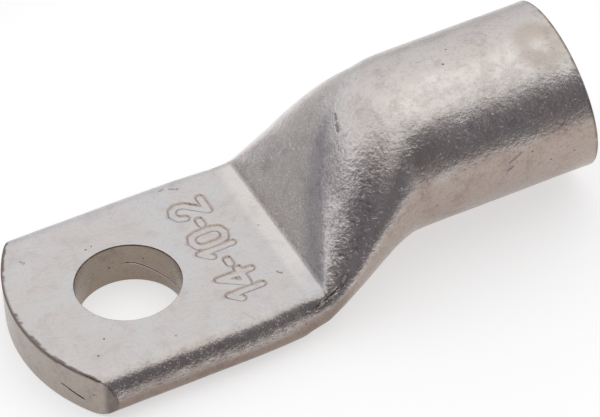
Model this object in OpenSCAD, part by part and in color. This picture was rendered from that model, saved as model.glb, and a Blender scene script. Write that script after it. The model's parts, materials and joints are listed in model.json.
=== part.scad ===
// Copper cable lug: one piece of tube, pressed flat at one end and holed for a stud.
//
// The origin is the centre of the stud hole on the underside of the palm, the face
// that is bolted down. X runs towards the mouth of the barrel, Z is up through the
// stud hole, and the lug is the same on both sides of Y = 0. Sizes are millimetres.

/* [Barrel] */
// Outside diameter of the tube that the lug is pressed from
barrel_d = 14; // [12.5:0.5:17]
// Bore that takes the bare end of the cable
bore_d = 10; // [8:0.5:11]
// Length of the round barrel, from the end of the slope to the mouth
barrel_len = 17.1; // [12:0.5:30]
// Height of the barrel's underside above the face that is bolted down
barrel_lift = 0.9; // [0.3:0.1:2]
// How far the sawn mouth leans out of square, top edge back, in degrees
mouth_lean = 4.5; // [0:0.5:6]
// Chamfer left on the bore's edge where the mouth was deburred
mouth_chamfer = 0.3; // [0.1:0.1:0.6]

/* [Palm] */
// Thickness of the palm, two walls of tube pressed together
palm_t = 3.8; // [3:0.1:5]
// Diameter of the stud hole
stud_hole_d = 8.4; // [5:0.1:11]
// Distance from the centre of the stud hole to the tip
tip_reach = 9.4; // [8:0.1:14]
// Radius of the curve that the tip is sheared to
tip_r = 15; // [13:0.5:30]
// Distance from the centre of the stud hole to the fold
fold_reach = 12.8; // [12:0.1:20]

/* [Bend between palm and barrel] */
// Length of the slope, from the fold to the top of the barrel
slope_len = 7.7; // [6:0.1:12]
// Half the length over which the slope rounds off into the barrel
shoulder_blend = 4; // [1:0.1:5]
// Half the length of the inside corner at the fold
fold_blend = 0.35; // [0.1:0.05:0.8]
// Length of the flat facet on the slope, which narrows to a point
facet_len = 3.5; // [1.5:0.1:5]
// Length over which the underside rises from the palm to the barrel
heel_len = 10.1; // [6:0.1:11]
// Length over which the sides draw in from the palm to the barrel
taper_len = 11; // [6:0.1:12]
// How far the sides swell out halfway along the bend
side_swell = 0.3; // [0:0.05:0.5]

/* [Seam] */
// Gap left in the palm where the two walls of the tube meet
seam_gap = 0.06; // [0.04:0.01:0.2]
// Depth at the tip over which shearing has smeared the gap shut
tip_skin = 0.5; // [0.2:0.1:1.5]
// Width of the short stretch of gap that is still open at the tip
open_seam_w = 2.2; // [1:0.1:4]
// Distance of the open stretch from the side of the palm
open_seam_in = 2.4; // [2:0.1:6]

/* [Hidden] */

$fn = 96;

// The tube is bent and not stretched, so half its girth lies in each flat of the palm.
wall = (barrel_d - bore_d) / 2;
palm_flat_w = PI * (barrel_d - palm_t) / 2;
palm_w = palm_flat_w + palm_t;

// How far past the top of the slope the underside and the sides reach the barrel, and
// how far short of the heel's end the flat underneath runs out.
heel_lag = 0.3;
taper_lag = 1.7;
under_flat_short = 1;

// Stations along X.
shoulder_x = fold_reach + slope_len;
mouth_x = shoulder_x + barrel_len;
heel_end_x = shoulder_x + heel_lag;
heel_x = heel_end_x - heel_len;
taper_end_x = shoulder_x + taper_lag;
taper_x = taper_end_x - taper_len;
facet_end_x = fold_reach + facet_len;
under_flat_end_x = heel_end_x - under_flat_short;

// Heights.
barrel_z = barrel_lift + barrel_d / 2;
crown_z = barrel_lift + barrel_d;
seam_z = palm_t / 2;

// Rounding of the lower and side ramps: long where they leave the palm, short where
// they run into the barrel.
heel_blend = 1;
taper_blend = 6;
barrel_blend = 0.35;

// Stretch of X over which the section changes.
bend_start_x = min(heel_x - heel_blend, taper_x - taper_blend);
bend_end_x = max(shoulder_x + shoulder_blend, taper_end_x + barrel_blend,
                 heel_end_x + barrel_blend);

// Steps round each quarter of a section, and the distance between sections.
quarter_steps = 12;
station_step = 0.38;
least_flat = 0.02;

// The hollow is this much over size where the bore runs into it, and its end lies
// this far inside the bore. Cutters pass the surfaces that they cut by a margin.
skin = 0.02;
lap = 0.6;
margin = 1;

function between(v, low, high) = max(low, min(high, v));

// A level at v0 that ramps to a level at v1 between x0 and x1. Each corner is
// rounded by a parabola that reaches r0 or r1 to either side of it.
function ramp(x, x0, v0, x1, v1, r0, r1) =
    let(slope = (v1 - v0) / (x1 - x0))
    x <= x0 - r0 ? v0 :
    x < x0 + r0 ? v0 + slope * pow(x - x0 + r0, 2) / (4 * r0) :
    x <= x1 - r1 ? v0 + slope * (x - x0) :
    x < x1 + r1 ? v1 - slope * pow(x1 + r1 - x, 2) / (4 * r1) :
    v1;

// Swell that is nothing at both ends of the taper and side_swell halfway.
function swell(x) =
    let(t = between((x - taper_x) / taper_len, 0, 1))
    side_swell * 4 * t * (1 - t);

// Height of the top and of the underside, and half the width, at station x.
function top_z(x) = ramp(x, fold_reach, palm_t, shoulder_x, crown_z, fold_blend, shoulder_blend);
function under_z(x) = ramp(x, heel_x, 0, heel_end_x, barrel_lift, heel_blend, barrel_blend);
function half_w(x) =
    ramp(x, taper_x, palm_w / 2, taper_end_x, barrel_d / 2, taper_blend, barrel_blend) + swell(x);

// Half the width of the flat on the top and on the underside.
function top_flat(x) =
    between(palm_flat_w / 2 * (facet_end_x - x) / facet_len, least_flat, palm_flat_w / 2);
function under_flat(x) =
    between(palm_flat_w / 2 * (under_flat_end_x - x) / (under_flat_end_x - heel_x),
            least_flat, palm_flat_w / 2);

// One section of the bend, drawn in by an inset: flats above and below, joined at
// each side by quarter ellipses that meet at half height. An inset of a whole wall
// gives the hollow, which is never lower than the gap of the seam.
function section(x, inset) =
    let(
        mid_z = (top_z(x) + under_z(x)) / 2,
        rise = max((top_z(x) - under_z(x)) / 2 - inset, seam_gap / 2),
        side = half_w(x) - inset,
        top = min(top_flat(x), side - least_flat),
        under = min(under_flat(x), side - least_flat),
        top_run = side - top,
        under_run = side - under,
        q = quarter_steps
    )
    concat(
        [for (i = [0:q]) let(a = 90 * i / q)
            [x, top + top_run * cos(a), mid_z + rise * sin(a)]],
        [for (i = [q:-1:0]) let(a = 90 * i / q)
            [x, -top - top_run * cos(a), mid_z + rise * sin(a)]],
        [for (i = [1:q]) let(a = 90 * i / q)
            [x, -under - under_run * cos(a), mid_z - rise * sin(a)]],
        [for (i = [q:-1:1]) let(a = 90 * i / q)
            [x, under + under_run * cos(a), mid_z - rise * sin(a)]]
    );

// Stations from start to end, at most step apart.
function spread(start, end, step) =
    let(count = max(1, ceil((end - start) / step)))
    [for (i = [0:count - 1]) start + (end - start) * i / count];

// A solid skinned over sections that have the same number of points.
module loft(sections) {
    count = len(sections[0]);
    last = len(sections) - 1;
    skin_faces = [
        for (s = [0:last - 1]) for (i = [0:count - 1])
            let(j = (i + 1) % count)
            [s * count + i, (s + 1) * count + i, (s + 1) * count + j, s * count + j]
    ];
    start_face = [for (i = [0:count - 1]) i];
    end_face = [for (i = [count - 1:-1:0]) last * count + i];
    polyhedron(
        points = [for (ring = sections) for (p = ring) p],
        faces = concat([start_face], skin_faces, [end_face]),
        convexity = 4
    );
}

// Outside of the lug before it is trimmed: the palm's rounded bar, the bend, and the
// round barrel, each running into the next.
module blank() {
    stations = concat(
        [-tip_reach - margin],
        spread(bend_start_x, fold_reach - fold_blend, 2 * station_step),
        spread(fold_reach - fold_blend, fold_reach + fold_blend, fold_blend / 3),
        spread(fold_reach + fold_blend, bend_end_x, station_step),
        [bend_end_x, mouth_x + barrel_d]
    );
    loft([for (x = stations) section(x, 0)]);
}

// What the shears take off at the tip, which leaves it a wide curve.
module tip_offcut() {
    difference() {
        translate([-tip_reach - 2 * margin, -palm_w, -margin])
            cube([tip_r, 2 * palm_w, palm_t + 2 * margin]);
        translate([tip_r - tip_reach, 0, -2 * margin])
            cylinder(r = tip_r, h = palm_t + 4 * margin);
    }
}

// Moves to the middle of the mouth, with X square to the saw cut.
module at_mouth() {
    translate([mouth_x, 0, barrel_z]) rotate([0, -mouth_lean, 0]) children();
}

// What the saw takes off past the mouth.
module mouth_offcut() {
    at_mouth() translate([0, -barrel_d, -barrel_d]) cube(2 * barrel_d);
}

// Room for the cable: the round bore, deburred at the mouth, and past it the part
// that closes up as the walls come together.
module hollow() {
    translate([bend_end_x, 0, barrel_z])
        rotate([0, 90, 0]) cylinder(d = bore_d, h = mouth_x + barrel_d - bend_end_x);
    at_mouth()
        rotate([0, -90, 0])
            cylinder(d1 = bore_d + 2 * mouth_chamfer, d2 = bore_d - 2 * margin,
                     h = mouth_chamfer + margin);
    stations = concat(
        spread(fold_reach, bend_end_x, 2 * station_step),
        [bend_end_x]
    );
    loft(concat(
        [for (x = stations) section(x, wall - skin)],
        [section(bend_end_x + 2 * lap, wall + lap)]
    ));
}

// Hairline gap between the two walls in the palm. Shearing has closed it at the tip,
// apart from one short stretch near the side.
module seam() {
    gap = seam_gap - skin;
    inner_w = palm_w - 2 * wall;
    translate([0, 0, seam_z - gap / 2]) {
        intersection() {
            translate([-tip_reach, -inner_w / 2, 0])
                cube([tip_reach + fold_reach + lap, inner_w, gap]);
            translate([tip_r - tip_reach, 0, -margin])
                cylinder(r = tip_r - tip_skin, h = gap + 2 * margin);
        }
        translate([-tip_reach - margin, open_seam_in - palm_w / 2, 0])
            cube([tip_reach, open_seam_w, gap]);
    }
}

// Hole for the stud, square to the palm.
module stud_hole() {
    translate([0, 0, -margin]) cylinder(d = stud_hole_d, h = palm_t + 2 * margin);
}

module cable_lug() {
    color([0.76, 0.74, 0.73])
        difference() {
            blank();
            tip_offcut();
            mouth_offcut();
            hollow();
            seam();
            stud_hole();
        }
}

cable_lug();
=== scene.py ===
"""Looks of the tinned copper cable lug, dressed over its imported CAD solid.

The lug is one piece, so one fine skin replaces the plain solid and keeps its form:
the sheared tip, the palm with its stud hole, the fold, the slope, the barrel and the
open bore. The skin adds what the solid leaves out: stamped numerals, the long edge
that the press flattened, the sheared and sawn edges, and the seam in the tip's face
and the hole's wall. It also carries the zones that the tin plate's finish follows.
Lengths in the classes are millimetres, and the skin is scaled to metres at the end.
"""

import functools
import json
import logging
import math
from dataclasses import dataclass
from enum import Enum

import bmesh
import bpy
import numpy as np
from mathutils import Matrix, Vector

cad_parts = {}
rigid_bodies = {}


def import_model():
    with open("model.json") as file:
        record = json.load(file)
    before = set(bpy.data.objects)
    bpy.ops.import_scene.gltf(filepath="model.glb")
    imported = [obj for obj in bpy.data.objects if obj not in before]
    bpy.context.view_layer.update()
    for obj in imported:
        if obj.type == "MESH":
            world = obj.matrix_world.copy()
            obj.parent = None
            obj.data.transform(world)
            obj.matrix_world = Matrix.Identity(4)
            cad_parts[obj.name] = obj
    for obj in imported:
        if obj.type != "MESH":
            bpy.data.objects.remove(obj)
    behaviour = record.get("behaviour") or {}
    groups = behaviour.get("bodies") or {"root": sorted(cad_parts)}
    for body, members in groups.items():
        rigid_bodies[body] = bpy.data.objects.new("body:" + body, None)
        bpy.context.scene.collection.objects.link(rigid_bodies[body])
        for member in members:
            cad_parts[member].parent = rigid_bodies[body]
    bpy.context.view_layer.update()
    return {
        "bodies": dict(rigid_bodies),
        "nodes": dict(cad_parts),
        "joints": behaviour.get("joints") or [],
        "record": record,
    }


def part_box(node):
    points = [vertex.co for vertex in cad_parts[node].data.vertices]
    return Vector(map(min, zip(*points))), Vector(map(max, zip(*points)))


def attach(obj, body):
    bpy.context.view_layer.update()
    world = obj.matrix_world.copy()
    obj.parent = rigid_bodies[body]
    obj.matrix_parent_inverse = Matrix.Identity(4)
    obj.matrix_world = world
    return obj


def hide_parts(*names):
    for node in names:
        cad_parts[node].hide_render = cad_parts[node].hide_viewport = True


LOG = logging.getLogger("cable_lug")

NODE = "cable_lug"
SLOT = "tinned_copper"
BODY = "root"
MM = 0.001

# Angle between faces, in degrees, from which an edge of the skin shades sharp.
SHARP_FROM = 42.0

# Least length that a direction is divided by.
TINY = 1e-9

# Numbers that scramble a lattice place into a random value, and how many values.
HASH_AXES = (73856093, 19349663, 83492791)
HASH_SEED = 2654435761
HASH_MIX = 1274126177
HASH_BITS = 0x7FFFFFFF
HASH_LEVELS = 65536

Place = tuple[float, float, float]
Colour = tuple[float, float, float]
Band = tuple[float, float]


# Small numeric helpers


def smoothstep(value: np.ndarray, start: float, end: float) -> np.ndarray:
    """Ease from 0 at start to 1 at end.

    Args:
        value: Where to evaluate.
        start: Value at which the result is 0.
        end: Value at which the result is 1. It may be less than start.

    Returns:
        The eased values, between 0 and 1.
    """
    t = np.clip((value - start) / (end - start), 0.0, 1.0)
    return t * t * (3.0 - 2.0 * t)


def ramp(
    x: np.ndarray,
    start: tuple[float, float],
    end: tuple[float, float],
    blends: tuple[float, float],
) -> np.ndarray:
    """Run level, ramp straight from start to end, and run level again.

    Args:
        x: Where to evaluate.
        start: Place and level at which the ramp begins.
        end: Place and level at which the ramp ends.
        blends: Reach of the parabola that rounds each corner, to either side.

    Returns:
        The level at each x.
    """
    (x0, v0), (x1, v1) = start, end
    r0, r1 = blends
    slope = (v1 - v0) / (x1 - x0)
    level = np.where(x < x0, v0, np.where(x > x1, v1, v0 + slope * (x - x0)))
    rounded = v0 + slope * (x - x0 + r0) ** 2 / (4.0 * r0)
    level = np.where(np.abs(x - x0) < r0, rounded, level)
    rounded = v1 - slope * (x1 + r1 - x) ** 2 / (4.0 * r1)
    return np.where(np.abs(x - x1) < r1, rounded, level)


@dataclass(frozen=True)
class Fade:
    """An eased change, from 0 at start to 1 at end. The end may be less than start."""

    start: float
    end: float

    def of(self, value: np.ndarray) -> np.ndarray:
        """Evaluate the change at a value."""
        return smoothstep(value, self.start, self.end)

    def past(self, place: float) -> "Fade":
        """The same change, with both of its ends counted from a place."""
        return Fade(self.start + place, self.end + place)


def lattice_noise(points: np.ndarray, cell: float, seed: int) -> np.ndarray:
    """Smooth noise from random values on a cubic lattice.

    Args:
        points: Rows of x, y, z.
        cell: Side of a lattice cell, in the units of the points.
        seed: Picks another pattern.

    Returns:
        One value per point, between -1 and 1.
    """
    scaled = points / cell
    base = np.floor(scaled).astype(np.int64)
    t = scaled - base
    t = t * t * (3.0 - 2.0 * t)
    total = np.zeros(len(points))
    for corner in np.ndindex(2, 2, 2):
        cell_id = base + np.array(corner)
        mixed = cell_id[:, 0] * HASH_AXES[0] ^ cell_id[:, 1] * HASH_AXES[1]
        mixed = (mixed ^ cell_id[:, 2] * HASH_AXES[2]) + seed * HASH_SEED
        mixed = (mixed ^ (mixed >> 13)) * HASH_MIX & HASH_BITS
        value = 2.0 * ((mixed ^ (mixed >> 16)) % HASH_LEVELS) / (HASH_LEVELS - 1) - 1.0
        weight = np.ones(len(points))
        for axis, side in enumerate(corner):
            weight *= t[:, axis] if side else 1.0 - t[:, axis]
        total += weight * value
    return total


def distance_to_path(points: np.ndarray, path: list[tuple[float, ...]]) -> np.ndarray:
    """Distance from each point to the nearest stretch of an open path.

    Args:
        points: Rows of coordinates.
        path: Corners of the path, with as many coordinates as the points.

    Returns:
        One distance per point.
    """
    best = np.full(len(points), np.inf)
    for a, b in zip(np.array(path[:-1]), np.array(path[1:])):
        run = b - a
        t = np.clip((points - a) @ run / (run @ run), 0.0, 1.0)
        gap = points - (a + t[:, None] * run)
        best = np.minimum(best, np.linalg.norm(gap, axis=1))
    return best


# Form of the lug


@dataclass(frozen=True)
class LugSizes:
    """Sizes of the lug, in millimetres, in the frame of the CAD solid.

    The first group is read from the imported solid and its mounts. The rest are the
    lengths of the bend, which the solid's box doesn't give.
    """

    palm_t: float
    palm_w: float
    hole_r: float
    tip_reach: float
    barrel_d: float
    barrel_z: float
    bore_r: float
    far_x: float
    tip_r: float = 15.0
    fold_x: float = 12.8
    slope_len: float = 7.7
    shoulder_blend: float = 4.0
    facet_len: float = 3.5
    heel_len: float = 10.1
    taper_len: float = 11.0
    side_swell: float = 0.3
    mouth_lean: float = math.radians(4.5)
    seam_gap: float = 0.06

    @classmethod
    def from_frame(cls, frame: dict) -> "LugSizes":
        """Read the solid's box and mounts.


        Returns:
            The sizes in millimetres.
        """
        low, high = (Vector(corner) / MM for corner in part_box(NODE))
        mounts = {mount["name"]: mount for mount in frame["record"]["mounts"]}
        barrel_z = mounts["barrel_bore"]["pos_m"][2] / MM
        return cls(
            palm_t=mounts["stud_hole"]["dims"]["length_mm"],
            palm_w=2.0 * high.y,
            hole_r=mounts["stud_hole"]["dims"]["r_mm"],
            tip_reach=-low.x,
            barrel_d=2.0 * (high.z - barrel_z),
            barrel_z=barrel_z,
            bore_r=mounts["barrel_bore"]["dims"]["r_mm"],
            far_x=high.x,
        )

    @property
    def mouth_x(self) -> float:
        """Place along X of the middle of the mouth."""
        return self.far_x - math.tan(self.mouth_lean) * self.barrel_d / 2.0

    @property
    def wall(self) -> float:
        """Wall of the tube."""
        return self.barrel_d / 2.0 - self.bore_r

    @property
    def palm_flat(self) -> float:
        """Half the width of the palm's flat."""
        return (self.palm_w - self.palm_t) / 2.0

    @property
    def shoulder_x(self) -> float:
        """Place along X where the slope meets the barrel's top."""
        return self.fold_x + self.slope_len

    @property
    def bend_end_x(self) -> float:
        """Place along X from which the section stays round."""
        return self.shoulder_x + self.shoulder_blend


@dataclass(frozen=True)
class LugForm:
    """The lug's sections, as functions of the place along X."""

    sizes: LugSizes
    heel_lag: float = 0.3
    taper_lag: float = 1.7
    under_flat_short: float = 1.0
    heel_blend: float = 1.0
    taper_blend: float = 6.0
    barrel_blend: float = 0.35
    fold_blend: float = 0.2
    lift_len: float = 1.5
    lift: float = 0.1
    least_flat: float = 0.02
    quarter_points: int = 80

    @property
    def heel_end_x(self) -> float:
        """Place along X where the underside reaches the barrel."""
        return self.sizes.shoulder_x + self.heel_lag

    @property
    def heel_x(self) -> float:
        """Place along X where the underside leaves the palm's level."""
        return self.heel_end_x - self.sizes.heel_len

    @property
    def taper_end_x(self) -> float:
        """Place along X where the sides reach the barrel."""
        return self.sizes.shoulder_x + self.taper_lag

    @property
    def taper_x(self) -> float:
        """Place along X where the sides start to draw in."""
        return self.taper_end_x - self.sizes.taper_len

    def top_z(self, x: np.ndarray) -> np.ndarray:
        """Height of the top, with the slight lift that leads into the fold.

        Args:
            x: Places along X.

        Returns:
            One height per place.
        """
        s = self.sizes
        crown = s.barrel_z + s.barrel_d / 2.0
        straight = ramp(
            x,
            (s.fold_x, s.palm_t),
            (s.shoulder_x, crown),
            (self.fold_blend, s.shoulder_blend),
        )
        into_fold = np.clip((x - s.fold_x + self.lift_len) / self.lift_len, 0.0, 1.0)
        out_of_fold = smoothstep(x, s.fold_x + self.lift_len, s.fold_x)
        return straight + self.lift * into_fold**2 * out_of_fold

    def under_z(self, x: np.ndarray) -> np.ndarray:
        """Height of the underside.

        Args:
            x: Places along X.

        Returns:
            One height per place.
        """
        s = self.sizes
        return ramp(
            x,
            (self.heel_x, 0.0),
            (self.heel_end_x, s.barrel_z - s.barrel_d / 2.0),
            (self.heel_blend, self.barrel_blend),
        )

    def half_w(self, x: np.ndarray) -> np.ndarray:
        """Half the width, with the swell of the sides halfway along the bend.

        Args:
            x: Places along X.

        Returns:
            One half width per place.
        """
        s = self.sizes
        narrowing = ramp(
            x,
            (self.taper_x, s.palm_w / 2.0),
            (self.taper_end_x, s.barrel_d / 2.0),
            (self.taper_blend, self.barrel_blend),
        )
        t = np.clip((x - self.taper_x) / s.taper_len, 0.0, 1.0)
        return narrowing + s.side_swell * 4.0 * t * (1.0 - t)

    def top_flat(self, x: np.ndarray) -> np.ndarray:
        """Half the width of the flat on top, which narrows to a point past the fold.

        Args:
            x: Places along X.

        Returns:
            One half width per place.
        """
        s = self.sizes
        flat = s.palm_flat * (s.fold_x + s.facet_len - x) / s.facet_len
        return np.clip(flat, self.least_flat, s.palm_flat)

    def under_flat(self, x: np.ndarray) -> np.ndarray:
        """Half the width of the flat underneath, which narrows along the heel.

        Args:
            x: Places along X.

        Returns:
            One half width per place.
        """
        end = self.heel_end_x - self.under_flat_short
        flat = self.sizes.palm_flat * (end - x) / (end - self.heel_x)
        return np.clip(flat, self.least_flat, self.sizes.palm_flat)

    def tip_x(self, y: np.ndarray) -> np.ndarray:
        """Place along X of the sheared tip."""
        s = self.sizes
        return s.tip_r - s.tip_reach - np.sqrt(s.tip_r**2 - y**2)

    def mouth_plane_x(self, z: np.ndarray) -> np.ndarray:
        """Place along X of the sawn mouth."""
        s = self.sizes
        return s.mouth_x - (z - s.barrel_z) * math.tan(s.mouth_lean)

    def section(self, x: float, inset: float, counts: tuple[int, int]) -> np.ndarray:
        """Draw one closed section, drawn in by an inset.

        Args:
            x: Place along X.
            inset: How far inside the outer skin the section lies.
            counts: Steps over the top half and round the lower half.

        Returns:
            Rows of y, z, from the +Y side over the top to the -Y side and back.
        """
        place = np.array(x)
        top, under = self.top_z(place), self.under_z(place)
        middle = (top + under) / 2.0
        rise = max((top - under) / 2.0 - inset, self.sizes.seam_gap / 2.0)
        side = self.half_w(place) - inset
        halves = (
            (self.top_flat(place), 1.0, counts[0]),
            (self.under_flat(place), -1.0, counts[1]),
        )
        rows = []
        for flat, way, steps in halves:
            flat = min(float(flat), side - self.least_flat)
            turn = np.linspace(0.0, math.pi / 2.0, self.quarter_points)
            y = flat + (side - flat) * np.cos(turn)
            z = rise * np.sin(turn)
            line = np.stack([np.append(y, -y[::-1]), np.append(z, z[::-1])], axis=1)
            lengths = np.linalg.norm(np.diff(line, axis=0), axis=1)
            along = np.append(0.0, np.cumsum(lengths))
            even = np.linspace(0.0, along[-1], steps + 1)[:-1]
            y = way * np.interp(even, along, line[:, 0])
            z = middle + way * np.interp(even, along, line[:, 1])
            rows.append(np.stack([y, z], axis=1))
        return np.concatenate(rows)


# Stamped numerals


class Numeral(Enum):
    """Strokes of each stamped character, in a cell one high."""

    ONE = (((0.08, 0.74), (0.34, 1.0), (0.34, 0.0)),)
    TWO = (
        (
            (0.04, 0.72),
            (0.10, 0.90),
            (0.30, 1.0),
            (0.50, 0.94),
            (0.60, 0.76),
            (0.55, 0.56),
            (0.04, 0.0),
            (0.62, 0.0),
        ),
    )
    FOUR = (((0.50, 0.0), (0.50, 1.0), (0.02, 0.32), (0.68, 0.32)),)
    ZERO = (
        (
            (0.00, 0.30),
            (0.08, 0.08),
            (0.30, 0.0),
            (0.52, 0.08),
            (0.60, 0.30),
            (0.60, 0.70),
            (0.52, 0.92),
            (0.30, 1.0),
            (0.08, 0.92),
            (0.00, 0.70),
            (0.00, 0.30),
        ),
    )
    DASH = (((0.05, 0.42), (0.24, 0.42)),)


@dataclass(frozen=True)
class Stamp:
    """A row of numerals struck into the palm, read from the -Y side.

    The row gives the tube's outside diameter, bore and wall. Its characters stand
    with their feet towards the barrel.
    """

    foot_x: float = 9.0
    start_y: float = -6.1
    height: float = 2.75
    row_len: float = 12.1
    stroke: float = 0.66
    wall: float = 0.3
    depth: float = 0.2
    row: tuple[Numeral, ...] = (
        Numeral.ONE,
        Numeral.FOUR,
        Numeral.DASH,
        Numeral.ONE,
        Numeral.ZERO,
        Numeral.DASH,
        Numeral.TWO,
    )

    def paths(self) -> list[list[tuple[float, float]]]:
        """Lay the characters out along Y.

        Returns:
            Paths of x, y corners in millimetres.
        """
        widths = [max(u for path in n.value for u, _ in path) for n in self.row]
        taken = sum(widths) * self.height
        gap = (self.row_len - taken) / (len(self.row) - 1)
        paths = []
        y = self.start_y
        for numeral, width in zip(self.row, widths):
            for path in numeral.value:
                paths.append(
                    [
                        (self.foot_x - v * self.height, y + u * self.height)
                        for u, v in path
                    ]
                )
            y += width * self.height + gap
        return paths

    def depth_at(self, places: np.ndarray) -> np.ndarray:
        """How deep the stamp is struck.

        Args:
            places: Rows of x, y.

        Returns:
            One depth per place, 0 away from the strokes.
        """
        reach = np.full(len(places), np.inf)
        for path in self.paths():
            reach = np.minimum(reach, distance_to_path(places, path))
        edge = self.stroke / 2.0
        return self.depth * smoothstep(reach, edge + self.wall / 2.0, edge - self.wall / 2.0)


# Marks of making and handling


@dataclass(frozen=True)
class Trace:
    """A soft-edged mark that follows a line on the skin.

    Args:
        path: Its line, as x, y, z corners in millimetres.
        inner: Distance within which it is whole.
        outer: Distance at which it has faded out.
    """

    path: tuple[Place, ...]
    inner: float
    outer: float

    def mask(self, points: np.ndarray, shake: np.ndarray | float = 0.0) -> np.ndarray:
        """How much of the mark there is at each point.

        Args:
            points: Rows of x, y, z.
            shake: Added to the distances, to roughen the mark's edge.

        Returns:
            Values from 0 to 1.
        """
        gap = distance_to_path(points, list(self.path))
        return smoothstep(gap + shake, self.outer, self.inner)


@dataclass(frozen=True)
class Waver:
    """A wavering distance, from noise.

    Args:
        rise: How far it wavers either way.
        cell: Distance over which it changes.
        seed: Picks its pattern.
    """

    rise: float
    cell: float
    seed: int

    def at(self, points: np.ndarray) -> np.ndarray:
        """How far off it is at each point, either way."""
        return self.rise * lattice_noise(points, self.cell, self.seed)

    def depth_at(self, points: np.ndarray) -> np.ndarray:
        """How far each point lies below the highest, where it makes the skin wavy."""
        return self.rise * (1.0 + lattice_noise(points, self.cell, self.seed))


@dataclass(frozen=True)
class FlatEdge:
    """The long rounded edge on the -Y side, which the press flattened a little.

    Args:
        depth: How deep it is flattened at most.
        over: Its fade from above, by the tilt of the skin in degrees.
        under: Its fade from below, by the tilt of the skin in degrees.
        along: Its fade towards the fold, by the distance past the fold.
        across: Its fade across the palm, by the place along Y.
    """

    depth: float = 0.24
    over: Fade = Fade(86.0, 26.0)
    under: Fade = Fade(-34.0, 24.0)
    along: Fade = Fade(0.8, -2.5)
    across: Fade = Fade(-6.5, -8.0)

    def depth_at(self, points: np.ndarray, normals: np.ndarray, fold_x: float) -> np.ndarray:
        """How far the edge lies below the smooth outer skin.

        Args:
            points: Rows of x, y, z on the smooth skin.
            normals: Their outward directions.
            fold_x: Place along X of the fold.

        Returns:
            One depth per point.
        """
        tilt = np.degrees(np.arcsin(np.clip(normals[:, 2], -1.0, 1.0)))
        turned = self.over.of(tilt) * self.under.of(tilt)
        along = self.along.past(fold_x).of(points[:, 0])
        return self.depth * turned * along * self.across.of(points[:, 1])


@dataclass(frozen=True)
class Marks:
    """Every mark that has real depth, and two lines that the finish follows.

    Args:
        sizes: The lug's sizes.
        stamp: The row of numerals.
        stamp_short: How far before the fold the stamped face ends.
        facing_up: Fade by the skin's upward direction, which keeps the stamp on top.
        flat_edge: The flattened long edge.
        waves: Waviness of the whole skin.
        pinch: The pinch at the fold's end on the -Y side, darkened as painted shade in the crease,
            with some dirt.
        band: The band beside the facet, along which the finish paints a darker, bluer reflection.
    """

    sizes: LugSizes
    stamp: Stamp = Stamp()
    stamp_short: float = 1.0
    facing_up: Fade = Fade(0.9, 0.98)
    flat_edge: FlatEdge = FlatEdge()
    waves: tuple[Waver, ...] = (Waver(0.012, 3.1, 3), Waver(0.006, 0.9, 4))
    # The finish darkens this line: painted shade in the crease, with some dirt.
    pinch: Trace = Trace(
        ((14.6, -8.7, 4.75), (13.6, -8.86, 3.9), (12.7, -8.9, 3.5), (11.7, -9.2, 3.1)), 0.05, 0.3
    )
    # The finish paints a darker, bluer reflection along this line.
    band: Trace = Trace(
        (
            (12.5, -7.5, 3.85),
            (13.1, -5.7, 4.4),
            (13.9, -4.3, 5.4),
            (15.4, -1.9, 7.6),
            (16.9, 0.3, 9.8),
            (18.0, 1.3, 11.2),
        ),
        0.25,
        1.65,
    )

    def depth_at(self, points: np.ndarray, normals: np.ndarray) -> np.ndarray:
        """Total depth of the marks below the smooth outer skin.

        Args:
            points: Rows of x, y, z on the smooth skin.
            normals: Their outward directions.

        Returns:
            One depth per point.
        """
        fold_x = self.sizes.fold_x
        on_palm = self.facing_up.of(normals[:, 2]) * (points[:, 0] < fold_x - self.stamp_short)
        depth = on_palm * self.stamp.depth_at(points[:, :2])
        depth += self.flat_edge.depth_at(points, normals, fold_x)
        for waves in self.waves:
            depth += waves.depth_at(points)
        return depth


# Zones of the finish


class Zone(Enum):
    """Masks that the finish reads from the skin, each from 0 to 1."""

    # Crinkled metal; the finish also paints shade and highlights on it.
    HAMMERED = "hammered"
    CUT = "cut_metal"
    # Painted shade along edges and creases, with some dirt.
    GRIME = "grime"
    STAIN = "tan_stain"
    FACE = "palm_face"
    # Painted shade on the palm's -Y flank.
    SMEARED = "smeared"
    # Painted shade on the walls of the numerals.
    STRUCK = "struck"
    # Painted shade: faces that turn down.
    UNDER = "underside"
    # Painted reflection: a darker, bluer band along the flank beside the facet.
    BAND = "worn_band"
    # A strip of wear before the fold, in the colour of the painted highlight.
    RUBBED = "rubbed"
    # Scuffed plate on the barrel, which also carries a painted highlight.
    FLAKED = "flaked"
    # Painted highlight on the bend where it faces up.
    BEND = "bend"


@dataclass(frozen=True)
class Patch:
    """A patch of the skin with faded edges.

    Args:
        fold: Fades along X, counted from the fold.
        along: Fades along X, which the wavy noise moves.
        across: Fades along Y.
        up: Fades by the skin's upward direction, which the fine noise moves.
        wavy: How far the wavy noise moves its fades.
        fine: How far the fine noise moves its fades.
    """

    fold: tuple[Fade, ...] = ()
    along: tuple[Fade, ...] = ()
    across: tuple[Fade, ...] = ()
    up: tuple[Fade, ...] = ()
    wavy: float = 0.0
    fine: float = 0.0


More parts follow.
